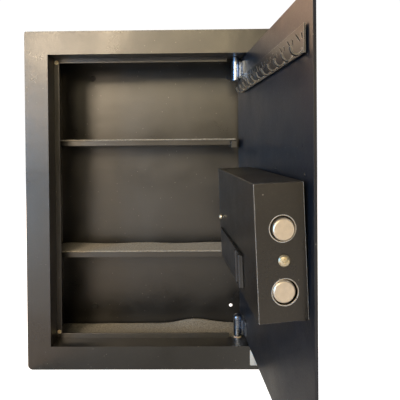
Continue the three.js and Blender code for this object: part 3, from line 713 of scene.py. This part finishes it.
# Painted shade: near-black strips behind the rack's slots darken them as if they looked into shadow.
SLOT_SHADE_SPANS = {"free": (14, 81), "middle": (87, 225), "hinge": (231, 272)}
SLOT_SHADE_Z = (172.5, 186)
SLOT_SHADE_T = 0.9


def rack_slot_shade(part, near, far):
    """A near-black strip of painted shade behind the key rack's slots, from u = near to u = far."""
    strip = bmesh.new()
    bmesh.ops.create_cube(strip, size=1)
    low, high = SLOT_SHADE_Z
    bmesh.ops.scale(strip, verts=strip.verts, vec=Vector((far - near, SLOT_SHADE_T, high - low)) * MM)
    place = door_matrix((near + far) / 2, SLOT_SHADE_T, (low + high) / 2)
    shade_sheet = piece_from(f"rack_slot_shade_{part}", strip, SLOT_SHADE_SHEET, "door", place)
    round_edges(shade_sheet, 0.2 * MM)


for part, ends in SLOT_SHADE_SPANS.items():
    rack_slot_shade(part, *ends)

INTO_CABINET = Matrix.Rotation(math.pi, 4, "Z")   # turns a dome to stand on the door's inner side
SIDE_SCREW = (196, 45.3, -11.8)
SCREW_R = 3.5 * MM
SCREW_RISE = 4.2 * MM
RIVETS = (20, 105)
RIVET_N = 0.05
RIVET_Z = 56.5
RIVET_R = 1.6 * MM
RIVET_RISE = 0.8 * MM


def case_screw():
    """The domed head of the screw in the side of the case, in place of the CAD's plain one."""
    zinc = MATERIALS["zinc_plate"]
    place = case_matrix(*SIDE_SCREW) @ INTO_CABINET
    head = piece_from("case_screw_dome", dome(SCREW_R, SCREW_RISE), zinc, "door", place)
    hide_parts("case_screw_side")


def case_rivet(number, u):
    """One painted rivet on the door, above the case."""
    slot = "black_powder_coat"
    place = door_matrix(u, RIVET_N, RIVET_Z) @ INTO_CABINET
    piece_from(f"case_rivet_{number}", dome(RIVET_R, RIVET_RISE), MATERIALS[slot], "door", place)


case_screw()
for number, u in enumerate(RIVETS, start=1):
    case_rivet(number, u)

LABEL_SIZE = (33 * MM, 23.5 * MM)
LABEL_CORNER = 1.5 * MM
LABEL_T = 0.12 * MM
LABEL_GAP = 0.02 * MM
LABEL_LEFT = 141.6 * MM
LABEL_Z = -237.6 * MM
CORNER_STEPS = 4


def blank_label():
    """A small blank label on the flange under the opening, with rounded corners."""
    width, height = LABEL_SIZE
    low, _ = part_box("front_frame")
    bm = bmesh.new()
    outline = []
    for index, (sx, sz) in enumerate([(1, 1), (-1, 1), (-1, -1), (1, -1)]):
        centre = Vector((sx * (width / 2 - LABEL_CORNER), 0, sz * (height / 2 - LABEL_CORNER)))
        for step in range(CORNER_STEPS + 1):
            angle = math.pi / 2 * (index + step / CORNER_STEPS)
            outward = Vector((math.cos(angle), 0, math.sin(angle)))
            outline.append(bm.verts.new(centre + outward * LABEL_CORNER))
    face = bm.faces.new(outline)
    grown = bmesh.ops.extrude_face_region(bm, geom=[face])
    moved = [item for item in grown["geom"] if isinstance(item, bmesh.types.BMVert)]
    bmesh.ops.translate(bm, verts=moved, vec=(0, -LABEL_T, 0))
    place = Matrix.Translation((LABEL_LEFT + width / 2, low.y - LABEL_GAP, LABEL_Z))
    return piece_from("blank_label", bm, LABEL_VINYL, "cabinet", place)


blank_label()

# ---------------------------------------------------------------- floor, light and camera
FLOOR_SIZE = 8.0
FLOOR_Z = CAD_LOW.z - 0.05 * MM


def pale_floor():
    """A sheet of pale paper. Its glow is only for the camera, and doesn't light the object."""
    bm = bmesh.new()
    bmesh.ops.create_grid(bm, x_segments=1, y_segments=1, size=FLOOR_SIZE / 2)
    mesh = bpy.data.meshes.new("floor")
    bm.to_mesh(mesh)
    bm.free()
    floor = bpy.data.objects.new("floor", mesh)
    floor.location = (0, 0, FLOOR_Z)
    bpy.context.scene.collection.objects.link(floor)
    f = Finish("floor_paper", Roughness=0.9, Specular_IOR_Level=0.1)
    f.bsdf.inputs["Emission Color"].default_value = rgb(1, 1, 1)
    f.wear("Emission Strength", f.add("ShaderNodeLightPath").outputs["Is Camera Ray"])
    f.wear("Base Color", f.blend(f.noise(0.4), rgb(0.84, 0.84, 0.84), rgb(0.88, 0.88, 0.88)))
    mesh.materials.append(f.material)


AMBIENT = 0.022
BACKDROP = 1.05        # a little over 1, so that the background is pure white


def studio_world():
    """White behind the object, and an even, dimmer light on it."""
    world = bpy.data.worlds.new("studio")
    bpy.context.scene.world = world
    world.use_nodes = True
    tree = world.node_tree
    tree.nodes["Background"].inputs["Color"].default_value = rgb(0.9, 0.95, 1)
    tree.nodes["Background"].inputs["Strength"].default_value = AMBIENT
    white = tree.nodes.new("ShaderNodeBackground")
    white.inputs["Color"].default_value = rgb(1, 1, 1)
    white.inputs["Strength"].default_value = BACKDROP
    sight = tree.nodes.new("ShaderNodeLightPath")
    mix = tree.nodes.new("ShaderNodeMixShader")
    tree.links.new(sight.outputs["Is Camera Ray"], mix.inputs[0])
    tree.links.new(tree.nodes["Background"].outputs[0], mix.inputs[1])
    tree.links.new(white.outputs[0], mix.inputs[2])
    tree.links.new(mix.outputs[0], tree.nodes["World Output"].inputs["Surface"])


def softbox(name, azimuth, elevation, distance, size, power, tint):
    """A square light aimed at the object. Azimuth 0 is in front of it, and 90 on its right."""
    a, e = math.radians(azimuth), math.radians(elevation)
    away = Vector((math.sin(a) * math.cos(e), -math.cos(a) * math.cos(e), math.sin(e)))
    middle = (CAD_LOW + CAD_HIGH) / 2
    data = bpy.data.lights.new(name, "AREA")
    data.size = size
    data.energy = power
    data.color = tint
    light = bpy.data.objects.new(name, data)
    light.location = middle + away * distance
    light.rotation_mode = "QUATERNION"
    light.rotation_quaternion = away.to_track_quat("Z", "Y")
    light.visible_camera = False
    bpy.context.scene.collection.objects.link(light)


# Azimuth and elevation in degrees, distance and size in metres, power in watts, and tint.
LIGHTS = {
    "window": (-25, 26, 2.2, 0.6, 27.5, (1.0, 0.8, 0.56)),
    "mid_left": (-28, 8, 2.2, 0.4, 5.0, (1.0, 0.8, 0.6)),
    "low_left": (-50, 5, 2.2, 0.6, 22.0, (0.22, 0.58, 1.0)),
    "front": (0, 22, 2.2, 0.6, 9.5, (1.0, 0.81, 0.5)),
    "right": (25, 10, 2.2, 0.6, 3.3, (1.0, 0.73, 0.36)),
    "back_left": (-130, 25, 2.2, 1.0, 38, (1.0, 0.64, 0.4)),
    "edge_glint": (-53, -15, 0.69, 0.2, 0.15, (0.75, 0.88, 1.0)),
    "door_front": (75, 30, 2.3, 1.2, 16, (1.0, 0.97, 0.92)),
    "behind": (170, 35, 2.4, 1.2, 10, (1.0, 0.97, 0.95)),
}
for name, settings in LIGHTS.items():
    softbox(name, *settings)

CAMERA_AT = (0.07578, -0.66091, 0.08483)
PAN = math.radians(0.67)
TILT = math.radians(-0.46)
ROLL = math.radians(-0.48)
LENS = 33.68
SENSOR = 36
SHIFT_Y = -0.1334


def camera():
    """The camera, level but for a slight pan, tilt and roll."""
    data = bpy.data.cameras.new("camera")
    data.lens = LENS
    data.sensor_width = SENSOR
    data.shift_y = SHIFT_Y
    data.clip_start = 0.01
    data.clip_end = 100
    pan = Matrix.Rotation(PAN, 4, "Z")
    level = Matrix.Rotation(math.pi / 2 + TILT, 4, "X")
    roll = Matrix.Rotation(ROLL, 4, "Z")
    eye = bpy.data.objects.new("camera", data)
    eye.matrix_world = Matrix.Translation(CAMERA_AT) @ pan @ level @ roll
    bpy.context.scene.collection.objects.link(eye)
    bpy.context.scene.camera = eye


pale_floor()
studio_world()
camera()
bpy.context.scene.view_settings.view_transform = "Standard"
